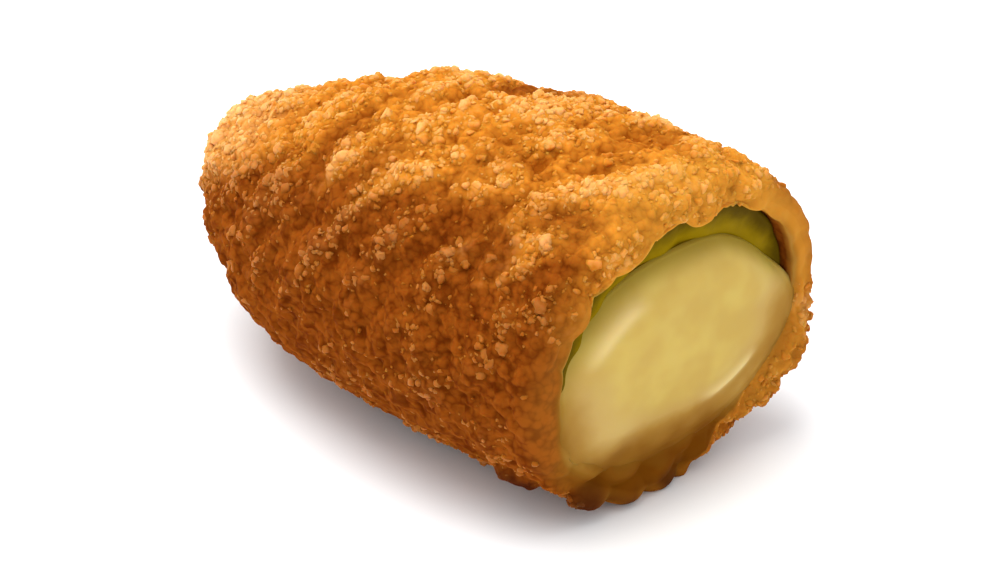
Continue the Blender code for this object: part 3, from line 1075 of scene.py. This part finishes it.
def build_cheese(filling):
    """The cheese's mesh: along the hollow, round its edge on the cut, and over its swelling face."""
    angles = np.linspace(0, 2 * math.pi, 240, endpoint=False)
    section = np.array(cheese_section(angles, grow=0.1 * MM))
    outer = np.array(filling_section(angles, grow=0.1 * MM))
    showing = filling.pepper_showing * pepper_share(angles)
    edge_line = smoothed(outer * (1 - showing / np.hypot(*outer)), 8)
    reach = np.hypot(*edge_line)
    ring = np.hypot(*body_section(angles)) - np.hypot(*outer)

    # Free is 1 where no pepper shows: there the cheese runs out over the coating
    free = smooth_step(2.0 * MM, 0.1 * MM, showing)
    width = (0.2 + 0.7 * free) * MM
    tip = COATING_TIP + PEPPER_TOP
    behind = (1 - free) * (0.3 * MM + filling.cheese_recess) - 0.16 * MM * free
    rows, spread = [], []
    for share in np.linspace(0.02, 1, 50):
        along = tip + (LENGTH - behind - 0.8 * MM - tip) * share
        rows.append(in_place(along, *(section * growth((along - tip) / (LENGTH - tip)))))
        spread.append(width / ring)
    for share in np.linspace(1, 0, 9)[:-1]:
        along = LENGTH - behind - (0.35 - 0.13 * free) * MM * share**1.5
        rows.append(in_place(along, *(edge_line * (1 + share * width / reach))))
        spread.append(share * width / ring)
    for share in np.linspace(1, 0.02, 60):
        inside = np.minimum((1 - share) * reach / ((4.0 + 2.5 * free) * MM), 1)
        pillow = 1 - (1 - inside) ** 2.2
        along = LENGTH - behind + (behind + filling.cheese_bulge - 0.5 * MM) * pillow
        rows.append(in_place(along + 0.5 * MM * (1 - share**2), *(edge_line * share)))
        spread.append((share - 1) * reach / MELT_REACH)
    grid, spread = np.array(rows), np.array(spread)

    # The face is uneven and has soft folds, with a painted highlight along them and a painted pale sheen low
    # on the left
    within = smooth_step(0.0, -0.3, spread)
    grid[..., 0] += 0.35 * MM * smooth_noise(grid, 5 * MM, 4.0) * within
    folds = np.zeros_like(spread)
    for middle, half, inside in CHEESE_FOLDS:
        fold = np.exp(-(((spread + inside) / 0.12) ** 2)) * facing(angles, middle, half)
        folds = np.maximum(folds, fold)
    grid[..., 0] += FOLD_HEIGHT * folds
    # Painted pale sheen low on the left of the cheese, laid with the fold highlights
    painted_sheen = 0.25 * np.exp(-(((spread + 0.5) / 0.35) ** 2)) * facing(angles, 205, 42)
    attributes = {
        "spread": (1 + melt_spread(spread, angles, grid)) * free - 1,
        "greening": 0.75 * (1 - free) * smooth_step(-0.28, 0.05, spread),
        "gleam": 0.75 * np.maximum(folds, painted_sheen),
    }
    return closed_mesh("cheddar_melt", grid, attributes)


class BuildCheese(bpy.types.Operator):
    """Builds the melted cheese that swells out of the cut"""

    bl_idname = "popper.build_cheese"
    bl_label = "Cheese"

    def execute(self, context):
        cheese = build_cheese(context.scene.popper_filling)
        finish_piece(cheese, new_finish("melted_cheddar", cheese_finish), "melted_cheddar", "cheddar")
        return {"FINISHED"}


def add_light(name, place, size, energy, target):
    """A soft square light that looks at a target."""
    light = bpy.data.lights.new(name, "AREA")
    light.size = size
    light.energy = energy
    lamp = bpy.data.objects.new(name, light)
    lamp.location = place
    lamp.rotation_euler = (Vector(target) - Vector(place)).to_track_quat("-Z", "Y").to_euler()
    bpy.context.scene.collection.objects.link(lamp)


def floor_finish(graph, place):
    """A plain pale floor."""
    colour = bpy.context.scene.popper_stage.floor
    return graph.node("ShaderNodeBsdfPrincipled", None, {"Base Color": colour, "Roughness": 0.9})


class BuildStage(bpy.types.Operator):
    """Builds the pale floor, the soft light and the camera"""

    bl_idname = "popper.build_stage"
    bl_label = "Stage"

    def execute(self, context):
        settings = context.scene.popper_stage
        mesh = bpy.data.meshes.new("floor")
        corners = [(x * FLOOR_REACH, y * FLOOR_REACH, 0) for x, y in ((-1, -1), (1, -1), (1, 1), (-1, 1))]
        mesh.from_pydata(corners, [], [(0, 1, 2, 3)])
        floor = bpy.data.objects.new("floor", mesh)
        mesh.materials.append(new_finish("pale_floor", floor_finish))
        context.scene.collection.objects.link(floor)

        add_light("above", LIGHT_PLACE, LIGHT_SIZE, LIGHT_POWER, LOOKED_AT)
        world = bpy.data.worlds.new("soft_room")
        world.use_nodes = True
        graph = Graph(world.node_tree)
        shade = graph.node("ShaderNodeBackground", None, {"Color": ROOM_COLOUR, "Strength": ROOM_LIGHT})
        graph.node("ShaderNodeOutputWorld", None, {"Surface": shade["Background"]})
        context.scene.world = world
        context.scene.view_settings.view_transform = "Standard"

        camera = bpy.data.cameras.new("camera")
        camera.lens = settings.lens
        camera.sensor_width = 36
        camera.clip_start = 0.01
        back = Vector(
            (
                math.sin(settings.azimuth) * math.cos(settings.elevation),
                -math.cos(settings.azimuth) * math.cos(settings.elevation),
                math.sin(settings.elevation),
            )
        )
        place = CUT_MIDDLE + settings.distance * back
        holder = bpy.data.objects.new("camera", camera)
        holder.location = place
        holder.rotation_euler = (LOOKED_AT - place).to_track_quat("-Z", "Y").to_euler()
        context.scene.collection.objects.link(holder)
        context.scene.camera = holder
        return {"FINISHED"}


BUILDERS = (BuildStage, BuildCoating, ScatterCrumbs, BuildPepper, BuildCheese)


class PopperPanel(bpy.types.Panel):
    """Lists the popper's pieces"""

    bl_idname = "VIEW3D_PT_popper"
    bl_label = "Popper"
    bl_space_type = "VIEW_3D"
    bl_region_type = "UI"
    bl_category = "Popper"

    def draw(self, context):
        for group in (context.scene.popper_crust, context.scene.popper_filling, context.scene.popper_stage):
            for name in group.__annotations__:
                self.layout.prop(group, name)
        for builder in BUILDERS:
            self.layout.operator(builder.bl_idname)


GROUPS = {"popper_crust": CrustSizes, "popper_filling": FillingSizes, "popper_stage": StageSettings}


def register():
    for group in (*GROUPS.values(), *BUILDERS, PopperPanel):
        bpy.utils.register_class(group)
    for name, group in GROUPS.items():
        setattr(bpy.types.Scene, name, PointerProperty(type=group))


def unregister():
    for name in GROUPS:
        delattr(bpy.types.Scene, name)
    for group in (PopperPanel, *BUILDERS, *GROUPS.values()):
        bpy.utils.unregister_class(group)


def main():
    """Builds everything."""
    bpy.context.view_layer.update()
    register()
    bpy.ops.popper.build_stage()
    bpy.ops.popper.build_coating()
    bpy.ops.popper.scatter_crumbs()
    bpy.ops.popper.build_pepper()
    bpy.ops.popper.build_cheese()


if __name__ == "__main__":
    main()
